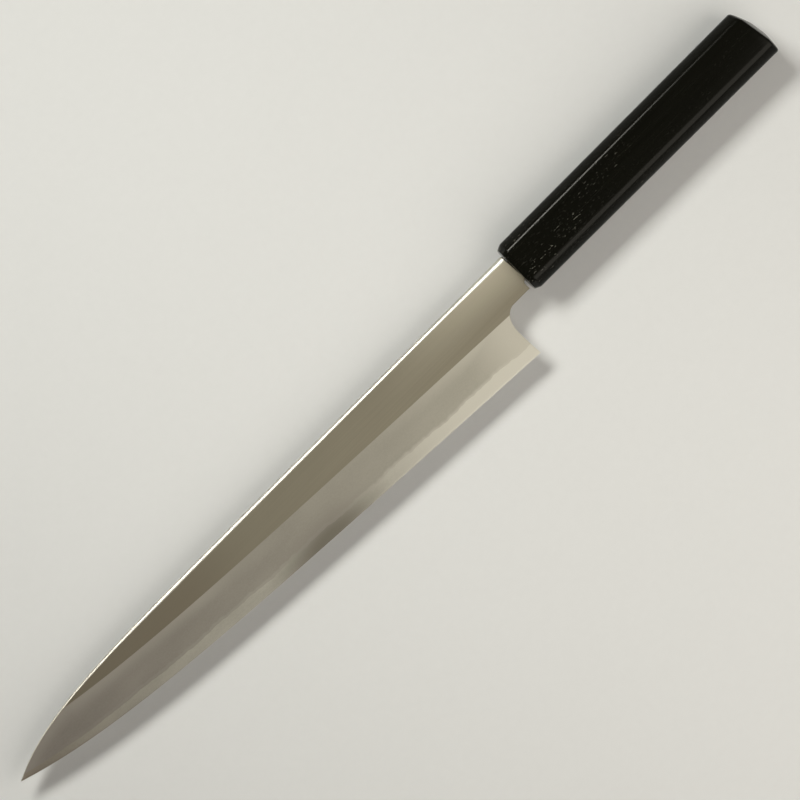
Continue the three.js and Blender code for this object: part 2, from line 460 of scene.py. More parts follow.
@dataclass(frozen=True)
class HairlineSteel(Finish):
    """Stainless cladding steel, ground lengthwise on a fine belt.

    The belt leaves straight hairlines along the blade, so the flat above the bevel is an even,
    slightly darker satin that shows no clear reflection. A painted sheen makes it brighter by the
    neck, most of all up at the spine, and painted shade makes it darker by the tip.
    """

    name: str = "hairline_stainless_flat"
    dark: str = "#989283"
    light: str = "#9e9888"
    shaded: str = "#958f80"
    # The colours of the painted sheen by the neck and of the painted shade at the tip.
    painted_sheen: str = "#d0caba"
    painted_tip_shade: str = "#8f8778"
    roughness: tuple[float, float] = (0.46, 0.54)
    # A hairline is about 0.05 mm wide; it is drawn 0.7 mm wide so that it shows in the picture.
    hair_length: float = 45
    hair_width: float = 0.7
    hair_contrast: tuple[float, float] = (0.3, 0.7)
    cloud_length: float = 60
    cloud_width: float = 12
    cloud_contrast: tuple[float, float] = (0.35, 0.65)
    cloud_share: float = 0.5
    sheen_x: tuple[float, float] = (-82, 0)
    sheen_y: tuple[float, float] = (-7, 6.5)
    sheen_share: float = 0.8
    tip_x: tuple[float, float] = (-190, -145)
    relief: float = 0.003
    # The dark band on the neck's rear end.
    scale: NeckDarkBand = NeckDarkBand()

    def paint(self, tree: NodeTree, place: Socket) -> dict[str, Any]:
        """Draws the hairlines, faint clouds, a painted sheen by the neck, painted shade at the tip and the
        dark band behind the neck.

        Args:
            tree: the material's node tree.
            place: the output that gives the place on the drawing.

        Returns:
            What goes into each named socket of the surface's shader.
        """
        hairs = stretched_noise(tree, place, self.hair_length, self.hair_width, Detail=4.0, Roughness=0.6)
        clouds = stretched_noise(tree, place, self.cloud_length, self.cloud_width, Detail=2.0)
        drawn = add_node(tree, "MapRange", {"Value": hairs, **span("From", self.hair_contrast)}, **SMOOTH)
        streaked = add_node(tree, "MixRGB", {"Fac": drawn, "Color1": self.dark, "Color2": self.light})
        clouding = {**span("From", self.cloud_contrast), "To Max": self.cloud_share}
        shade = add_node(tree, "MapRange", {"Value": clouds, **clouding})
        ground = add_node(tree, "MixRGB", {"Fac": shade, "Color1": streaked, "Color2": self.shaded})
        back = add_node(tree, "SeparateXYZ", {"Vector": place}, "X")
        # Painted shade: the flat is painted darker towards the tip.
        towards_tip = {**span("From", self.tip_x), **span("To", FALLING)}
        tipped = add_node(tree, "MapRange", {"Value": back, **towards_tip}, **SMOOTH)
        dimmed = add_node(tree, "MixRGB", {"Fac": tipped, "Color1": ground, "Color2": self.painted_tip_shade})
        # Painted sheen: the flat is painted brighter towards the neck, most of all near the spine.
        towards_neck = {**span("From", self.sheen_x), "To Max": self.sheen_share}
        by_neck = add_node(tree, "MapRange", {"Value": back, **towards_neck}, **SMOOTH)
        up = add_node(tree, "SeparateXYZ", {"Vector": place}, "Y")
        by_spine = add_node(tree, "MapRange", {"Value": up, **span("From", self.sheen_y)})
        sheen_mask = add_node(tree, "Math", {0: by_neck, 1: by_spine}, operation="MULTIPLY")
        clean = add_node(tree, "MixRGB", {"Fac": sheen_mask, "Color1": dimmed, "Color2": self.painted_sheen})
        dull = add_node(tree, "MapRange", {"Value": hairs, **span("To", self.roughness)})
        depth = {"Strength": 0.5, "Distance": self.relief * MM}
        scratched = add_node(tree, "Bump", {"Height": hairs, **depth})
        colour = self.scale.cover(tree, place, clean)
        return {"Base Color": colour, "Metallic": 1.0, "Roughness": dull, "Normal": scratched}


@dataclass(frozen=True)
class StonePolishedSteel(Finish):
    """Steel polished on natural stone, which dulls soft cladding and brightens the hard core.

    The loose stone mud leaves a misty haze with a fine grain and faint clouds. The haze is paler
    under the bevel's upper line and fades along the weld into the next layer. Painted light makes
    it paler by the heel and painted shade makes it darker towards the tip. Low on the middle of
    the bevel the stone left a dull patch.
    """

    name: str
    dark: str
    light: str
    pale: str
    weld: str
    patched: str
    # The painted shade that the colour is multiplied by towards the tip.
    painted_tip_tint: str
    roughness: tuple[float, float] = (0.48, 0.56)
    fade: tuple[float, float] = (0.0, 1.6)
    pale_width: float = 6
    pale_share: float = 0.8
    # The stretch over which the bevel is painted paler by the heel, as painted light.
    heel_light_x: tuple[float, float] = (-46, -18)
    tip_x: tuple[float, float] = (-285, -40)
    tip_power: float = 1.0
    # The stone's grit is about 0.01 mm; its grain is drawn 0.5 mm wide so that it shows.
    grain_length: float = 0.9
    grain_width: float = 0.5
    cloud_length: float = 26
    cloud_width: float = 7
    haze_contrast: tuple[float, float] = (0.7, 1.3)
    haze_range: tuple[float, float] = (0.6, 1.4)
    fringe: float = 2.4
    fringe_depth: float = 1.2
    relief: float = 0.003
    patch: StonePatch = StonePatch(x=-129, y=-23.5, half_length=38, half_width=12)
    # In this wide patch the pale band under the bevel's upper line goes out.
    halo: StonePatch = StonePatch(x=-118, y=-12, half_length=95, half_width=60)

    def paint(self, tree: NodeTree, place: Socket) -> dict[str, Any]:
        """Draws the haze, its paler upper band, its fringe along the weld, the dull patch, painted light
        by the heel and painted shade at the tip.

        Args:
            tree: the material's node tree.
            place: the output that gives the place on the drawing.

        Returns:
            What goes into each named socket of the surface's shader.
        """
        mottle = {"Detail": 5.0, "Roughness": 0.55}
        clouds = stretched_noise(tree, place, self.cloud_length, self.cloud_width, **mottle)
        grain = stretched_noise(tree, place, self.grain_length, self.grain_width, Detail=3.0)
        haze = add_node(tree, "Math", {0: clouds, 1: grain}, operation="ADD")
        misty = add_node(tree, "MapRange", {"Value": haze, **span("From", self.haze_contrast)}, **SMOOTH)
        hazed = add_node(tree, "MixRGB", {"Fac": misty, "Color1": self.dark, "Color2": self.light})
        back = add_node(tree, "SeparateXYZ", {"Vector": place}, "X")
        # Painted shade: the colour is multiplied darker towards the tip.
        towards_tip = {**span("From", self.tip_x), **span("To", FALLING)}
        tipped = add_node(tree, "MapRange", {"Value": back, **towards_tip})
        dimming = add_node(tree, "Math", {0: tipped, 1: self.tip_power}, operation="POWER")
        painted_shade_tint = add_node(tree, "MixRGB", {"Fac": dimming, "Color1": WHITE, "Color2": self.painted_tip_tint})
        below = add_node(tree, "Attribute", output="Fac", attribute_name=RIDGE_ATTRIBUTE)
        from_ridge = {"From Max": self.pale_width, **span("To", (self.pale_share, 0.0))}
        paling = add_node(tree, "MapRange", {"Value": below, **from_ridge}, **SMOOTH)
        clear = add_node(tree, "Math", {0: 1.0, 1: self.halo.amount(tree, place)}, operation="SUBTRACT")
        band = add_node(tree, "Math", {0: paling, 1: clear}, operation="MULTIPLY")
        # Painted light: the bevel is painted paler towards the heel.
        heel_light = add_node(tree, "MapRange", {"Value": back, **span("From", self.heel_light_x)}, **SMOOTH)
        paled = add_node(tree, "Math", {0: band, 1: heel_light}, operation="MAXIMUM")
        fray = add_node(tree, "TexNoise", {"Vector": place, "Scale": 1 / self.fringe, "Detail": 3.0})
        above = add_node(tree, "Attribute", output="Fac", attribute_name=WELD_ATTRIBUTE)
        frayed = {0: fray, 1: -self.fringe_depth, 2: above}
        ragged = add_node(tree, "Math", frayed, operation="MULTIPLY_ADD")
        start, end = (height - self.fringe_depth / 2 for height in self.fade)
        faded = add_node(tree, "MapRange", {"Value": ragged, **span("From", (start, end))}, **SMOOTH)
        # Towards the tip and in the dull patch the weld is stoned thin, and its fringe goes out.
        dulled = self.patch.amount(tree, place)
        thinned = add_node(tree, "Math", {0: faded, 1: tipped}, operation="MAXIMUM")
        blurred = add_node(tree, "Math", {0: thinned, 1: dulled}, operation="MAXIMUM")
        welded = add_node(tree, "MixRGB", {"Fac": blurred, "Color1": self.weld, "Color2": hazed})
        banded = add_node(tree, "MixRGB", {"Fac": paled, "Color1": welded, "Color2": self.pale})
        stained = add_node(tree, "MixRGB", {"Fac": dulled, "Color1": banded, "Color2": self.patched})
        tinting = {"Fac": 1.0, "Color1": stained, "Color2": painted_shade_tint}
        colour = add_node(tree, "MixRGB", tinting, blend_type="MULTIPLY")
        to_gloss = {**span("From", self.haze_range), **span("To", self.roughness)}
        dull = add_node(tree, "MapRange", {"Value": haze, **to_gloss})
        depth = {"Strength": 0.4, "Distance": self.relief * MM}
        stoned = add_node(tree, "Bump", {"Height": grain, **depth})
        return {"Base Color": colour, "Metallic": 1.0, "Roughness": dull, "Normal": stoned}


@dataclass(frozen=True)
class SandedSteel(Finish):
    """Steel rounded and hand-sanded along the spine and round the choil.

    Sanding leaves a soft bright surface with faint lines the way the paper ran, so a long lamp
    shows in it as one clean white line with soft borders.
    """

    name: str = "hand_sanded_spine"
    dark: str = "#d0cdc5"
    light: str = "#dad7cf"
    roughness: tuple[float, float] = (0.4, 0.46)
    # Sanding lines are finer than 0.05 mm; they are drawn 0.4 mm wide so that they show.
    line_length: float = 18
    line_width: float = 0.4
    # The dark band on the neck's rear end.
    scale: NeckDarkBand = NeckDarkBand()

    def paint(self, tree: NodeTree, place: Socket) -> dict[str, Any]:
        """Draws the sanding lines and the dark band behind the neck.

        Args:
            tree: the material's node tree.
            place: the output that gives the place on the drawing.

        Returns:
            What goes into each named socket of the surface's shader.
        """
        lines = stretched_noise(tree, place, self.line_length, self.line_width, Detail=3.0)
        sanded = add_node(tree, "MixRGB", {"Fac": lines, "Color1": self.dark, "Color2": self.light})
        dull = add_node(tree, "MapRange", {"Value": lines, **span("To", self.roughness)})
        return {"Base Color": self.scale.cover(tree, place, sanded), "Metallic": 1.0, "Roughness": dull}


@dataclass(frozen=True)
class OpenPoreLacquer(Finish):
    """Ring-porous hardwood under thin black lacquer, rubbed out to a low gloss.

    The lacquer sinks into the wood's long pores without filling them. So the flats are a deep
    black with clean lines of light along the arrises, and where a growth ring comes out its
    crowded pores carry painted glints, pale specks along the grain that fade towards the butt.
    """

    name: str = "open_pore_black_lacquer"
    dark: str = "#090906"
    light: str = "#12120d"
    # The colour of the painted glints on the crowded pores.
    painted_glint: str = "#6a6962"
    roughness: tuple[float, float] = (0.15, 0.21)
    specular: float = 0.16
    refraction: float = 1.5
    grain_length: float = 40
    grain_width: float = 1.6
    # A pore is about 0.2 mm wide; it is drawn 0.5 mm wide so that it shows in the picture.
    pore_length: float = 1.7
    pore_width: float = 0.5
    pore_depth: float = 0.05
    open_range: tuple[float, float] = (0.54, 0.74)
    bright_range: tuple[float, float] = (0.635, 0.79)
    ring_spacing: float = 17
    ring_lean: float = math.radians(12)
    ring_x: float = 34
    ring_y: float = -0.5
    ring_waver: float = 1.4
    ring_range: tuple[float, float] = (0.45, 0.95)
    stray_share: float = 0.1
    # Where the pores get shallower and the painted glints fade towards the butt.
    falloff_x: tuple[float, float] = (30, 78)
    butt_share: float = 0.06

    def ring_shift(self) -> Vector:
        """Gives the shift that brings a growth ring to its place, in ring spacings."""
        crest = Vector((self.ring_x, self.ring_y, 0)) / self.ring_spacing
        crest.rotate(Euler((0, 0, -self.ring_lean)))
        return Vector((0, 0.5, 0)) - crest

    def paint(self, tree: NodeTree, place: Socket) -> dict[str, Any]:
        """Draws the grain, the growth rings and the pores, which thin out towards the butt, with painted
        glints on the crowded pores.

        Args:
            tree: the material's node tree.
            place: the output that gives the place on the drawing.

        Returns:
            What goes into each named socket of the surface's shader.
        """
        fibres = {"Detail": 4.0, "Distortion": 0.4}
        grain = stretched_noise(tree, place, self.grain_length, self.grain_width, **fibres)
        pores = stretched_noise(tree, place, self.pore_length, self.pore_width, Detail=1.0)
        open_pore = add_node(tree, "MapRange", {"Value": pores, **span("From", self.open_range)}, **SMOOTH)
        leaning = {
            "Location": self.ring_shift(),
            "Rotation": (0, 0, -self.ring_lean),
            "Scale": cell_scale(self.ring_spacing, self.ring_spacing),
        }
        ringed = add_node(tree, "Mapping", {"Vector": place, **leaning})
        # At scale 1 the wave node turns 20 radians a unit, so this scale gives one wave a ring.
        one_wave = math.tau / 20
        waver = {"Distortion": self.ring_waver, "Detail": 2.0, "Detail Scale": 8.0}
        bands = {"wave_type": "BANDS", "bands_direction": "Y"}
        rings = add_node(tree, "TexWave", {"Vector": ringed, "Scale": one_wave, **waver}, "Fac", **bands)
        crowding = {**span("From", self.ring_range), "To Min": self.stray_share}
        crowded = add_node(tree, "MapRange", {"Value": rings, **crowding}, **SMOOTH)
        back = add_node(tree, "SeparateXYZ", {"Vector": place}, "X")
        to_butt = {**span("From", self.falloff_x), **span("To", (1.0, self.butt_share))}
        pore_and_glint_falloff = add_node(tree, "MapRange", {"Value": back, **to_butt}, **SMOOTH)
        # Painted glints: crowded pores are painted pale, most at the front and fading towards the butt.
        glinting = add_node(tree, "Math", {0: crowded, 1: pore_and_glint_falloff}, operation="MULTIPLY")
        bright = add_node(tree, "MapRange", {"Value": pores, **span("From", self.bright_range)}, **SMOOTH)
        glint = add_node(tree, "Math", {0: glinting, 1: bright}, operation="MULTIPLY")
        body = add_node(tree, "MixRGB", {"Fac": grain, "Color1": self.dark, "Color2": self.light})
        colour = add_node(tree, "MixRGB", {"Fac": glint, "Color1": body, "Color2": self.painted_glint})
        dull = add_node(tree, "MapRange", {"Value": grain, **span("To", self.roughness)})
        hollow = add_node(tree, "Math", {0: open_pore, 1: pore_and_glint_falloff}, operation="MULTIPLY")
        depth = {"Strength": 0.3, "Distance": self.pore_depth * MM}
        sunk = add_node(tree, "Bump", {"Height": hollow, **depth}, invert=True)
        gloss = {"IOR": self.refraction, "Specular IOR Level": self.specular}
        return {"Base Color": colour, "Roughness": dull, "Normal": sunk, **gloss}


@dataclass(frozen=True)
class BeddingResin(Finish):
    """Epoxy resin with wood dust in it, poured round the tang and left as it set.

    The dust makes it a cloudy dark brown, and the surface tension leaves it faintly glossy.
    """

    name: str = "dusty_epoxy_bedding"
    dark: str = "#1d1812"
    light: str = "#3b3125"
    roughness: tuple[float, float] = (0.3, 0.5)
    refraction: float = 1.55
    dust_size: float = 0.8
    relief: float = 0.1

    def paint(self, tree: NodeTree, place: Socket) -> dict[str, Any]:
        """Draws the dust.

        Args:
            tree: the material's node tree.
            place: the output that gives the place on the drawing.

        Returns:
            What goes into each named socket of the surface's shader.
        """
        dust = add_node(tree, "TexNoise", {"Vector": place, "Scale": 1 / self.dust_size, "Detail": 4.0})
        colour = add_node(tree, "MixRGB", {"Fac": dust, "Color1": self.dark, "Color2": self.light})
        dull = add_node(tree, "MapRange", {"Value": dust, **span("To", self.roughness)})
        depth = {"Strength": 0.2, "Distance": self.relief * MM}
        lumpy = add_node(tree, "Bump", {"Height": dust, **depth})
        return {"Base Color": colour, "Roughness": dull, "Normal": lumpy, "IOR": self.refraction}


@dataclass(frozen=True)
class SweepPaper(Finish):
    """The matt paper sweep that the knife lies on, with the faint mottle of its pulp."""

    name: str = "matt_paper_sweep"
    dark: str = "#e4e6ea"
    light: str = "#e7e9ed"
    roughness: float = 0.9
    specular: float = 0.1
    pulp_size: float = 3

    def paint(self, tree: NodeTree, place: Socket) -> dict[str, Any]:
        """Draws the mottle.

        Args:
            tree: the material's node tree.
            place: the output that gives the place on the drawing.

        Returns:
            What goes into each named socket of the surface's shader.
        """
        pulp = add_node(tree, "TexNoise", {"Vector": place, "Scale": 1 / self.pulp_size, "Detail": 4.0})
        colour = add_node(tree, "MixRGB", {"Fac": pulp, "Color1": self.dark, "Color2": self.light})
        return {"Base Color": colour, "Roughness": self.roughness, "Specular IOR Level": self.specular}


@dataclass(frozen=True)
class BladeSection:
    """The left half of one cross-section of the blade, before the layers are told apart."""

    top: float
    bottom: float
    crown: float
    ridge: float
    edge_top: float
    shoulder: float
    bevel_slope: float
    flat_z: Callable[[float], float]

    @property
    def crown_foot(self) -> float:
        """The height at which the flat rounds over into the spine."""
        return self.top - self.crown

    def face_z(self, y: float) -> float:
        """Gives the half thickness at a height below the spine's rounding."""
        return min(self.flat_z(y), self.shoulder + self.bevel_slope * (y - self.edge_top))

    def on_crown(self, angle: float) -> Vector:
        """Gives a point of the spine's rounding, from its middle at 0 to its foot at a right angle."""
        half = self.face_z(self.crown_foot)
        return Vector((self.crown_foot + self.crown * math.cos(angle), half * math.sin(angle)))

    def weld_angle(self, level: float) -> float:
        """Gives where on the spine's rounding a weld at that level comes out."""
        return math.asin(min(1.0, level / self.face_z(self.crown_foot)))

    def weld_height(self, level: float) -> float:
        """Gives the height at which a weld at that level comes out on the bevel."""
        return self.edge_top + (level - self.shoulder) / self.bevel_slope


@dataclass(frozen=True)
class LaminatedBlade:
    """The blade: a hard core between two soft claddings, tapered to the tip, with wide bevels."""

    drawing: KnifeDrawing
    heel_height: float = 38.5
    tip_drop: float = 12.8
    spine_curl: float = 24.8
    edge_rise: float = 14
    edge_belly: float = 44
    neck_length: float = 16.3
    neck_height: float = 17.2
    choil_run: float = 6.4
    choil_rise: float = 8.8
    heel_hollow: float = 0.6
    neck_thickness: float = 4
    tip_thickness: float = 1
    spine_crown: float = 1.6
    tip_crown: float = 0.25
    neck_crown: float = 2.4
    crown_run: float = 95
    neck_crown_run: float = 60
    flat_lean: float = math.radians(0.4)
    bevel_heel_width: float = 19.4
    bevel_tip_width: float = 16.2
    edge_bevel: float = 0.6
    edge_shoulder: float = 0.2
    core_thickness: float = 1.1
    tang_length: float = 95
    tang_root_height: float = 9.5
    tang_end_height: float = 6
    tang_end_thickness: float = 2.4
    neck_top_round: float = 1.2
    machi_gap: float = 1.4
    machi_step: float = 3.7
    machi_round: float = 1.2
    fit_gap: float = 0.3
    # At the tip the crown and the final bevel are at most this share of the blade's height.
    tip_share: float = 0.25
    # Where the faces run out, these are the least heights of the flat, as a share of the crown,
    # of the bevel, as a share of the cladding's face, and of the core's face, in millimetres.
    least_flat: float = 0.125
    least_bevel: float = 0.1
    least_core: float = 0.012
    # Each wave of the weld: its length along the blade, its height and where it starts.
    weld_waves: tuple[tuple[float, float, float], ...] = (
        (47, 0.030, 0.0),
        (19, 0.020, 0.0),
        (8.3, 0.010, 1.1),
        (4.7, 0.010, 2.3),
        (3.1, 0.006, 0.4),
    )
    stations: int = 360
    tip_crowding: float = 1.3
    guard: float = 0.12
    crown_steps: int = 10
    flat_steps: int = 6
    bevel_steps: int = 10
    choil_steps: int = 24
    hollow_steps: int = 12
    round_steps: int = 8
    halvings: int = 40
    # How far from the handle's axis the cutters reach, and the least Z in a side face's normal.
    reach: float = 77
    side_facing: float = 0.5

    @property
    def heel_x(self) -> float:
        """The heel's place along the drawing."""
        return -self.neck_length

    @property
    def blade_length(self) -> float:
        """The length from heel to tip."""
        return self.heel_x - self.drawing.tip_x

    def spine_y(self, x: float) -> float:
        """Gives the spine's height, straight from the neck and dropping in a curl to the tip."""
        drop = math.exp(-(x - self.drawing.tip_x) / self.spine_curl)
        return self.drawing.spine_level - self.tip_drop * drop

    def edge_y(self, x: float) -> float:
        """Gives the edge's height, rising evenly from the heel and then in a belly to the tip.

        Args:
            x: the place along the drawing.

        Returns:
            The height in millimetres.
        """
        rise = self.edge_rise * (self.heel_x - x) / self.blade_length
        belly = math.exp(-(x - self.drawing.tip_x) / self.edge_belly)
        tip_height = self.heel_height - self.tip_drop - self.edge_rise
        return self.drawing.spine_level - self.heel_height + rise + tip_height * belly

    def thickness(self, x: float) -> float:
        """Gives the thickness at the spine, which tapers to the tip and to the tang's end."""
        if x > 0:
            return between(self.neck_thickness, self.tang_end_thickness, x / self.tang_length)
        return between(self.neck_thickness, self.tip_thickness, x / self.drawing.tip_x)

    def section(self, x: float) -> BladeSection:
        """Works out the cross-section at one place.

        Args:
            x: the place along the drawing.

        Returns:
            The section.
        """
        top = self.spine_y(x)
        bottom = self.edge_y(x)
        least = (top - bottom) * self.tip_share
        half = self.thickness(x) / 2
        lean = math.tan(self.flat_lean)

        def flat_z(y: float) -> float:
            """Gives the half thickness of the flat, which leans in towards the edge."""
            return half - lean * (self.drawing.spine_level - y)

        run = (self.heel_x - x) / self.blade_length
        bevel_width = between(self.bevel_heel_width, self.bevel_tip_width, run)
        bevel_line = bottom + bevel_width
        shoulder = self.edge_shoulder / 2
        slope = (flat_z(bevel_line) - shoulder) / (bevel_width - self.edge_bevel)
        swell = min(1.0, (x - self.drawing.tip_x) / self.crown_run)
        flare = min(1.0, max(0.0, 1 + x / self.neck_crown_run)) ** 2
        crown = between(self.tip_crown, self.spine_crown, swell)
        crown = min(between(crown, self.neck_crown, flare), least)
        ridge = min(bevel_line, top - crown - crown * self.least_flat)
        edge_top = bottom + min(self.edge_bevel, least)
        return BladeSection(top, bottom, crown, ridge, edge_top, shoulder, slope, flat_z)

    def weld_level(self, x: float, side: Side) -> float:
        """Gives how far from the middle the weld lies, with the ripple of its forging.

        Args:
            x: the place along the drawing.
            side: the face of the blade, which shifts the ripple.

        Returns:
            The level in millimetres.
        """
        along = x - self.drawing.tip_x
        swell = min(1.0, along / self.blade_length)
        shift = 0.0 if side is Side.LEFT else self.neck_length
        ripple = sum(
            height * math.sin(math.tau * (along + shift) / length + start)
            for length, height, start in self.weld_waves
        )
        return self.core_thickness * self.thickness(x) / self.neck_thickness / 2 + ripple * swell

    def places(self) -> list[float]:
        """Lists the stations along the blade, closer together at the tip, and along the tang."""
        shares = [(k / self.stations) ** self.tip_crowding for k in range(1, self.stations + 1)]
        return [*(self.drawing.tip_x * (1 - share) for share in shares), self.tang_length]

    def cladding_start(self, side: Side) -> float:
        """Finds where the weld runs out over the spine, by halving.

        Args:
            side: the face of the blade.

        Returns:
            The place along the drawing.
        """
        before = self.drawing.tip_x
        past = before + self.spine_curl
        for _ in range(self.halvings):
            middle = (before + past) / 2
            section = self.section(middle)
            bare = section.face_z(section.crown_foot) < self.weld_level(middle, side)
            before, past = (middle, past) if bare else (before, middle)
        return past

    def cladding_line(self, x: float, side: Side) -> list[Vector]:
        """Draws a cladding's outer line at one station, from its weld at the spine to that at the edge.

        Args:
            x: the place along the drawing.
            side: the face of the blade.

        Returns:
            The points' Y and half thickness.
        """
        section = self.section(x)
        level = self.weld_level(x, side)
        start = section.weld_angle(level)
        weld = section.weld_height(level)
        foot = section.crown_foot
        ridge = max(section.ridge, between(weld, foot, self.least_bevel))
        turns = [between(start, RIGHT_ANGLE, k / self.crown_steps) for k in range(self.crown_steps)]
        flat = guarded(foot, ridge, self.flat_steps, self.guard)
        bevel = guarded(ridge, weld, self.bevel_steps, self.guard)
        face = [Vector((y, section.face_z(y))) for y in [*flat, *bevel[1:]]]
        return [*(section.on_crown(angle) for angle in turns), *face]

    def core_line(self, x: float, side: Side) -> list[Vector]:
        """Draws one half of the core's line at one station, from the spine's middle to the edge.

        Args:
            x: the place along the drawing.
            side: the face of the blade.

        Returns:
            The points' Y and half thickness.
        """
        section = self.section(x)
        level = self.weld_level(x, side)
        turn = section.weld_angle(level)
        crown = [section.on_crown(turn * k / self.crown_steps) for k in range(self.crown_steps + 1)]
        weld = min(section.weld_height(level), crown[-1].x - self.least_core)
        heights = guarded(weld, section.edge_top, self.bevel_steps, self.guard / 2)
        face = [Vector((y, section.face_z(y))) for y in heights]
        return [*crown, *face, Vector((section.bottom, 0))]

    def choil_cutter(self) -> Piece:
        """Makes the solid that cuts the heel, the choil, the neck and the tang's underside.

        Returns:
            The cutter.
        """
        neck_y = self.drawing.spine_level - self.neck_height
        heel_back = self.heel_x - self.heel_hollow
        choil_foot = neck_y - self.choil_rise
        heel_y = self.edge_y(self.heel_x)
        rear_foot = neck_y + self.machi_step
        beyond = self.tang_length + self.machi_gap
        turns = [math.pi - RIGHT_ANGLE * k / self.choil_steps for k in range(1, self.choil_steps + 1)]
        across = [heel_back + self.choil_run * (1 + math.cos(turn)) for turn in turns]
        up = [choil_foot + self.choil_rise * math.sin(turn) for turn in turns]
        arc = [Vector(point) for point in zip(across, up)]
        hollow = curve(
            Vector((self.heel_x, heel_y)),
            Vector((heel_back, (heel_y + choil_foot) / 2)),
            Vector((heel_back, choil_foot)),
            self.hollow_steps,
        )
        machi = curve(
            Vector((-self.machi_gap, rear_foot - self.machi_round)),
            Vector((-self.machi_gap, rear_foot)),
            Vector((-self.fit_gap, rear_foot)),
            self.round_steps,
        )
        outline = [
            Vector((self.heel_x, -self.reach)),
            *hollow,
            *arc,
            Vector((-self.machi_gap, neck_y)),
            *machi,
            Vector((-self.fit_gap, -self.tang_root_height / 2)),
            Vector((self.tang_length, -self.tang_end_height / 2)),
            Vector((beyond, -self.tang_end_height / 2)),
            Vector((beyond, -self.reach)),
        ]
        return self.drawing.prism("choil_cutter", outline, self.reach)

    def tang_cutter(self) -> Piece:
        """Makes the solid that cuts the neck's rear top and the tang's upper side.

        Returns:
            The cutter.
        """
        level = self.drawing.spine_level
        beyond = self.tang_length + self.machi_gap
        shoulder = curve(
            Vector((-self.fit_gap, level - self.neck_top_round)),
            Vector((-self.fit_gap, level)),
            Vector((-self.fit_gap - self.neck_top_round, level)),
            self.round_steps,
        )
        outline = [
            Vector((beyond, self.reach)),
            Vector((beyond, self.tang_end_height / 2)),
            Vector((self.tang_length, self.tang_end_height / 2)),
            Vector((-self.fit_gap, self.tang_root_height / 2)),
            *shoulder,
            Vector((-self.fit_gap - self.neck_top_round, self.reach)),
        ]
        return self.drawing.prism("tang_cutter", outline, self.reach)

    def build_cladding(self, side: Side, name: str, node: str, cutters: list[Piece]) -> Piece:
        """Builds one cladding.

        Args:
            side: the face of the blade that it covers.
            name: the piece's name.
            node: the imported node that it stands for.
            cutters: the solids that cut the heel, the neck and the tang.

        Returns:
            The piece.
        """
        start = self.cladding_start(side)
        apex = self.section(start).on_crown(RIGHT_ANGLE)
        rings = [
            [self.drawing.place(x, p.x, side.value * p.y) for p in self.cladding_line(x, side)]
            for x in self.places()
            if x > start + self.guard
        ]
        piece = skin(name, rings, first=self.drawing.place(start, apex.x, side.value * apex.y))
        cut(piece, *cutters)
        self.mark(piece, side)
        settle(piece, "cladding_steel", node)
        return piece

    def build_core(self, name: str, node: str, cutters: list[Piece]) -> Piece:
        """Builds the core, which shows along the edge, at the tip and as a line in the spine.

        Args:
            name: the piece's name.
            node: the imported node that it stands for.
            cutters: the solids that cut the heel, the neck and the tang.

        Returns:
            The piece.
        """
        rings = []
        for x in self.places():
            left = [self.drawing.place(x, p.x, p.y) for p in self.core_line(x, Side.LEFT)]
            right = [self.drawing.place(x, p.x, -p.y) for p in self.core_line(x, Side.RIGHT)[1:-1]]
            rings.append([*left, *reversed(right)])
        tip = self.drawing.tip_x
        piece = skin(name, rings, first=self.drawing.place(tip, self.spine_y(tip), 0))
        cut(piece, *cutters)
        self.mark(piece, None)
        settle(piece, "core_steel", node)
        return piece

    def mark(self, piece: Piece, side: Side | None) -> None:
        """Writes each point's height over the weld and depth below the ridge, and zones the faces.

        Args:
            piece: a finished layer.
            side: the layer's face of the blade, or None for the core, which has both.
        """
        mesh = piece.data
        heights, depths = [], []
        for vertex in mesh.vertices:
            point = self.drawing.read(vertex.co)
            face = side or (Side.LEFT if point.z > 0 else Side.RIGHT)
            section = self.section(point.x)
            heights.append(point.y - section.weld_height(self.weld_level(point.x, face)))
            depths.append(section.ridge - point.y)
        for name, values in ((WELD_ATTRIBUTE, heights), (RIDGE_ATTRIBUTE, depths)):
            mesh.attributes.new(name, "FLOAT", "POINT").data.foreach_set("value", values)
        for polygon in mesh.polygons:
            point = self.drawing.read(polygon.center)
            section = self.section(point.x)
            zone = Zone.FLAT if point.y > section.ridge else Zone.BEVEL
            if point.y > section.crown_foot or abs(polygon.normal.z) < self.side_facing:
                zone = Zone.SPINE
            polygon.material_index = zone.value

    def build(self) -> list[Piece]:
        """Builds the three layers.

        Returns:
            The core and the left and right claddings.
        """
        cutters = [self.choil_cutter(), self.tang_cutter()]
        core = self.build_core("blade_core", "core_steel", cutters)
        left = self.build_cladding(Side.LEFT, "blade_cladding_left", "cladding_left", cutters)
        right = self.build_cladding(Side.RIGHT, "blade_cladding_right", "cladding_right", cutters)
        discard(*cutters)
        return [core, left, right]

    def dress(self, core: Piece, *claddings: Piece) -> None:
        """Gives the layers their finishes.

        Args:
            core: the core.
            claddings: the two claddings.
        """
        flat = HairlineSteel().material(self.drawing)
        spine = SandedSteel().material(self.drawing)
        mist = StonePolishedSteel(
            name="kasumi_cladding_bevel",
            dark="#b2afa5",
            light="#bab7ad",
            pale="#cfccc2",
            weld="#cdcbc2",
            patched="#a6a299",
            painted_tip_tint="#dcd7db",
        ).material(self.drawing)
        bright = StonePolishedSteel(
            name="stone_polished_core",
            dark="#bfbdb4",
            light="#c9c7be",
            pale="#dcdad1",
            weld="#cbc9c0",
            patched="#8a867c",
            painted_tip_tint="#c6bcb6",
            tip_x=(-285, -120),
            tip_power=3.0,
            roughness=(0.46, 0.54),
            heel_light_x=(-115, -50),
            fade=(-9.0, -8.0),
        ).material(self.drawing)
        for cladding in claddings:
            for material in (flat, mist, spine):
                cladding.data.materials.append(material)
        for material in (bright, bright, spine):
            core.data.materials.append(material)


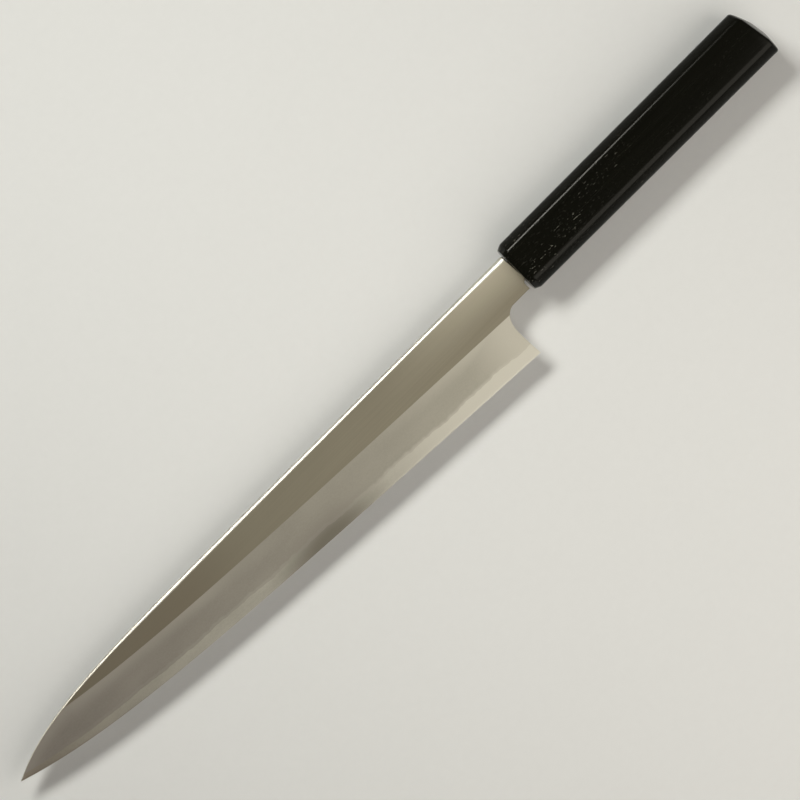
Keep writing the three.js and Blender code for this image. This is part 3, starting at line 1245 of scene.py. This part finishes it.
@dataclass(frozen=True)
class LacqueredHandle:
    """The eight-sided wooden handle, deeper and thicker at its butt, with a domed end."""

    drawing: KnifeDrawing
    blade: LaminatedBlade
    front_height: float = 23.6
    butt_height: float = 24.4
    front_thickness: float = 18.4
    butt_thickness: float = 20
    facet_chamfer: float = 3.9
    arris_ease: float = 1.35
    front_bevel_length: float = 2.4
    front_bevel_depth: float = 1.2
    front_ease: float = 0.4
    butt_radius: float = 34
    butt_crown_drop: float = 5
    rim_round: float = 0.8
    socket_length: float = 101
    socket_growth: float = 1.6
    body_steps: int = 12
    arris_steps: int = 6
    rim_steps: int = 6
    dome_steps: int = 8

    def section(self, x: float, inset: float) -> list[Vector]:
        """Draws the eight-sided section at one place, with its arrises eased.

        Args:
            x: the place along the drawing.
            inset: how far the section is drawn in from the handle's sides.

        Returns:
            The section's points, as Y and Z.
        """
        share = x / self.drawing.handle_length
        half = between(self.front_height, self.butt_height, share) / 2 - inset
        side = between(self.front_thickness, self.butt_thickness, share) / 2 - inset
        chamfer = self.facet_chamfer - (2 - math.sqrt(2)) * inset
        quarter = [Vector((half, side - chamfer)), Vector((half - chamfer, side))]
        upper = [*quarter, *(Vector((-p.x, p.y)) for p in reversed(quarter))]
        corners = [*upper, *(Vector((p.x, -p.y)) for p in reversed(upper))]
        points: list[Vector] = []
        for k, corner in enumerate(corners):
            before = corners[k - 1]
            after = corners[(k + 1) % len(corners)]
            points += eased(before, corner, after, self.arris_ease, self.arris_steps)
        return points

    def dome_x(self, y: float, z: float) -> float:
        """Gives how far back the domed butt reaches at a point of the section."""
        across = (y + self.butt_crown_drop) ** 2 + z**2
        return self.drawing.handle_length - self.butt_radius + math.sqrt(self.butt_radius**2 - across)

    def ring(self, x: float, inset: float) -> list[Vector]:
        """Places one section that lies square to the handle's axis."""
        return [self.drawing.place(x, p.x, p.y) for p in self.section(x, inset)]

    def front_rings(self) -> list[list[Vector]]:
        """Places the sections round the front's bevel, with both of its edges eased.

        Returns:
            The rings, from the front face to the body.
        """
        face = Vector((0, self.front_bevel_depth))
        shoulder = Vector((self.front_bevel_length, 0))
        profile = [
            *eased(face * 2, face, shoulder, self.front_ease, self.arris_steps),
            *eased(face, shoulder, shoulder * 2, self.front_ease, self.arris_steps),
        ]
        return [self.ring(p.x, p.y) for p in profile]

    def body_rings(self) -> list[list[Vector]]:
        """Places the sections along the body, up to where the butt's rim begins.

        Returns:
            The rings, from the front to the butt.
        """
        start = self.front_bevel_length + 2 * self.front_ease
        end = self.drawing.handle_length - self.butt_crown_drop - self.rim_round
        return [self.ring(between(start, end, k / self.body_steps), 0) for k in range(self.body_steps + 1)]

    def butt_rings(self) -> list[list[Vector]]:
        """Places the rings of the rounded rim and of the dome inside it.

        Returns:
            The rings, from the rim inwards.
        """
        rim_x = self.dome_x(self.butt_height / 2, 0) - self.rim_round
        rings = []
        for k in range(self.rim_steps + 1):
            turn = RIGHT_ANGLE * k / self.rim_steps
            section = self.section(rim_x, self.rim_round * (1 - math.cos(turn)))
            drop = self.rim_round * (1 - math.sin(turn))
            rings.append([self.drawing.place(self.dome_x(*p) - drop, *p) for p in section])
        rim = self.section(rim_x, self.rim_round)
        for k in range(1, self.dome_steps):
            section = [p * (1 - k / self.dome_steps) for p in rim]
            rings.append([self.drawing.place(self.dome_x(*p), *p) for p in section])
        return rings

    def socket_cutter(self) -> Piece:
        """Makes the solid that cuts the tang's socket, a little larger than the tang's bedding.

        Returns:
            The cutter.
        """
        blade = self.blade
        rings = []
        for x in (-self.front_bevel_length, self.socket_length):
            share = x / blade.tang_length
            tall = between(blade.tang_root_height, blade.tang_end_height, share) / 2 + self.socket_growth
            wide = between(blade.neck_thickness, blade.tang_end_thickness, share) / 2 + self.socket_growth
            corners = ((tall, wide), (-tall, wide), (-tall, -wide), (tall, -wide))
            rings.append([self.drawing.place(x, y, z) for y, z in corners])
        return skin("socket_cutter", rings)

    def build(self) -> Piece:
        """Builds the handle.

        Returns:
            The piece.
        """
        rings = [*self.front_rings(), *self.body_rings(), *self.butt_rings()]
        piece = skin("handle", rings, last=self.drawing.place(self.dome_x(0, 0), 0, 0))
        socket = self.socket_cutter()
        cut(piece, socket)
        discard(socket)
        settle(piece, "lacquered_wood", "handle_body")
        return piece

    def dress(self, handle: Piece, bedding: Piece) -> None:
        """Gives the handle and the bedding in its socket their finishes.

        Args:
            handle: the handle.
            bedding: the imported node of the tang's bedding, which stays as it is.
        """
        handle.data.materials.append(OpenPoreLacquer().material(self.drawing))
        bedding.data.materials.clear()
        bedding.data.materials.append(BeddingResin().material(self.drawing))
        log.info("%s: packed node, dressed", bedding.name)


@dataclass(frozen=True)
class SoftPanel:
    """A soft lamp panel, in metres, aimed at a point. A spread under a half turn stands for a grid."""

    name: str
    place: tuple[float, float, float]
    aim: tuple[float, float, float]
    width: float
    depth: float
    radiance: float
    spread: float = math.pi
    colour: str = WARM_WHITE

    def build(self) -> Piece:
        """Hangs the panel.

        Returns:
            The lamp.
        """
        lamp = bpy.data.lights.new(self.name, "AREA")
        lamp.shape = "RECTANGLE"
        lamp.size = self.width
        lamp.size_y = self.depth
        lamp.energy = self.radiance * math.pi * self.width * self.depth
        lamp.spread = self.spread
        lamp.color = linear(self.colour)[:3]
        panel = bpy.data.objects.new(self.name, lamp)
        panel.location = self.place
        panel.rotation_euler = (Vector(self.aim) - Vector(self.place)).to_track_quat("-Z", "Y").to_euler()
        panel.visible_camera = False
        bpy.context.scene.collection.objects.link(panel)
        log.info("%s: lamp", self.name)
        return panel


@dataclass(frozen=True)
class Studio:
    """The pale floor, the soft light and the camera straight above the knife."""

    drawing: KnifeDrawing
    pixel: float = 0.4
    pixels: int = 800
    centre: tuple[float, float] = (-69.6, -4.0)
    turn: float = math.radians(-45)
    lens: float = 180
    sensor: float = 36
    floor_size: float = 40
    floor_gap: float = 0.2
    ceiling_strength: float = 0.08
    wall_strength: float = 0.25
    wall_rise: float = math.radians(35)
    wash_near: float = 0.65
    wash_far: float = 3.7
    wash_height: float = 0.7
    wash_radiance: float = 0.6
    wash_spread: float = math.radians(60)
    panels: tuple[SoftPanel, ...] = (
        SoftPanel("heel_panel", (0.22, -0.38, 0.46), (0.04, 0.0, 0.0), 0.68, 0.68, 1.64),
        SoftPanel(
            name="spine_panel",
            place=(-0.006, 0.656, 0.755),
            aim=(-0.006, 0.0, 0.0),
            width=0.458,
            depth=0.25,
            radiance=5.8,
            spread=math.radians(100),
            colour="#fffdf1",
        ),
    )

    def build_camera(self) -> Piece:
        """Hangs the camera over the knife, turned so that the knife lies across the picture.

        Returns:
            The camera.
        """
        lens = bpy.data.cameras.new("overhead_camera")
        lens.lens = self.lens
        lens.sensor_width = self.sensor
        camera = bpy.data.objects.new("overhead_camera", lens)
        height = self.pixel * self.pixels * self.lens / self.sensor
        camera.location = self.drawing.place(*self.centre, height)
        camera.rotation_euler = (0, 0, self.turn)
        bpy.context.scene.collection.objects.link(camera)
        bpy.context.scene.camera = camera
        log.info("%s: %.0f mm over the blade", camera.name, height)
        return camera

    def build_floor(self) -> Piece:
        """Lays the floor just under the knife.

        Returns:
            The floor.
        """
        half = self.floor_size / 2
        level = cad_box[0].z - self.floor_gap * MM
        corners = [Vector((x * half, y * half, level)) for x, y in ((-1, -1), (1, -1), (1, 1), (-1, 1))]
        floor = add_piece("paper_floor", corners, [(0, 1, 2, 3)])
        floor.data.materials.append(SweepPaper().material(self.drawing))
        log.info("%s: stage", floor.name)
        return floor

    def build_room(self) -> bpy.types.World:
        """Fills the room with soft light from pale walls under a darker ceiling.

        Returns:
            The world.
        """
        room = bpy.data.worlds.new("pale_room")
        room.use_nodes = True
        tree = room.node_tree
        tree.nodes.clear()
        towards = add_node(tree, "TexCoord", output="Generated")
        rise = add_node(tree, "SeparateXYZ", {"Vector": towards}, "Z")
        strengths = span("To", (self.wall_strength, self.ceiling_strength))
        upwards = {"Value": rise, "From Max": math.sin(self.wall_rise), **strengths}
        strength = add_node(tree, "MapRange", upwards, **SMOOTH)
        light = add_node(tree, "Background", {"Color": WARM_WHITE, "Strength": strength})
        add_node(tree, "OutputWorld", {"Surface": light})
        bpy.context.scene.world = room
        return room

    def washes(self) -> list[SoftPanel]:
        """Lists the lamps that keep the floor pale all round, with grids that shade the knife.

        Returns:
            Four lamps, laid like the sails of a pinwheel so that none lights another's floor.
        """
        across = self.wash_far - self.wash_near
        along = self.wash_far + self.wash_near
        out, by = along / 2, across / 2
        sails = {
            "tip": (-out, -by, across, along),
            "edge": (by, -out, along, across),
            "butt": (out, by, across, along),
            "spine": (-by, out, along, across),
        }
        light = (self.wash_radiance, self.wash_spread)
        return [
            SoftPanel(f"{side}_wash", (x, y, self.wash_height), (x, y, 0.0), width, depth, *light)
            for side, (x, y, width, depth) in sails.items()
        ]

    def build(self) -> None:
        """Sets up the floor, the room's light and the lamps."""
        bpy.context.scene.view_settings.view_transform = "Standard"
        self.build_floor()
        self.build_room()
        for panel in [*self.panels, *self.washes()]:
            panel.build()


def main() -> None:
    """Builds the knife piece by piece, dresses it, and sets up the studio round it."""
    logging.basicConfig(level=logging.INFO, format="%(name)s: %(message)s", stream=sys.stdout)
    drawing = KnifeDrawing.from_frame()
    studio = Studio(drawing)
    studio.build_camera()
    blade = LaminatedBlade(drawing)
    blade.dress(*blade.build())
    handle = LacqueredHandle(drawing, blade)
    handle.dress(handle.build(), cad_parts["tang_bedding"])
    studio.build()


if __name__ == "__main__":
    main()
